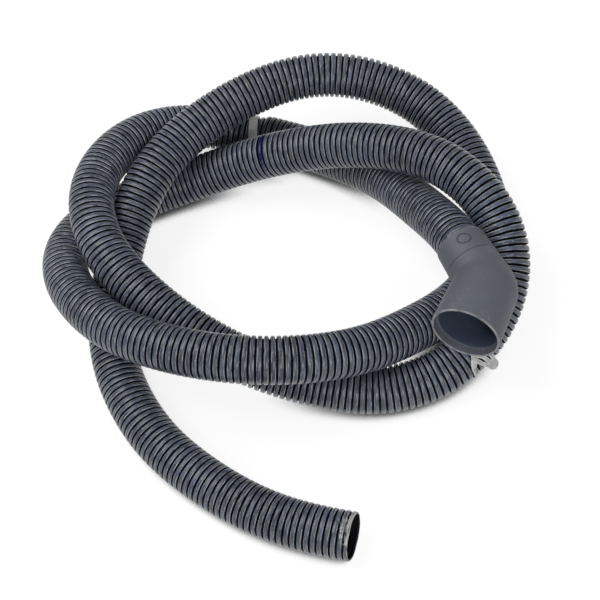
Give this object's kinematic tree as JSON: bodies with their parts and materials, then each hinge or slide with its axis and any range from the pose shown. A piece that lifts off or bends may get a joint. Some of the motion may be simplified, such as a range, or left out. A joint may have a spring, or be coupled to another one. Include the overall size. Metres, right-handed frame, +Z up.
{
  "type": "washing machine drain hose",
  "caption": "Corrugated plastic drain hose lying in a loose coil, with a moulded elbow connector on one end and light ties round the coil.",
  "frame": {"origin": "centre of the bounding box in plan, on the plane that the coil lies on", "axes": "+Z up from the plane that the coil lies on, +X towards the side with the elbow connector, -Y towards the cut end"},
  "size_m": [0.3523, 0.3999, 0.1004],
  "materials": {
    "hose": "satin dark grey polypropylene",
    "elbow": "matte dark grey moulding",
    "tie": "pale translucent strip"
  },
  "bodies": {
    "root": {"drain_hose": "hose", "elbow_connector": "elbow", "coil_tie_back": "tie", "coil_tie_front": "tie"}
  },
  "joints": []
}
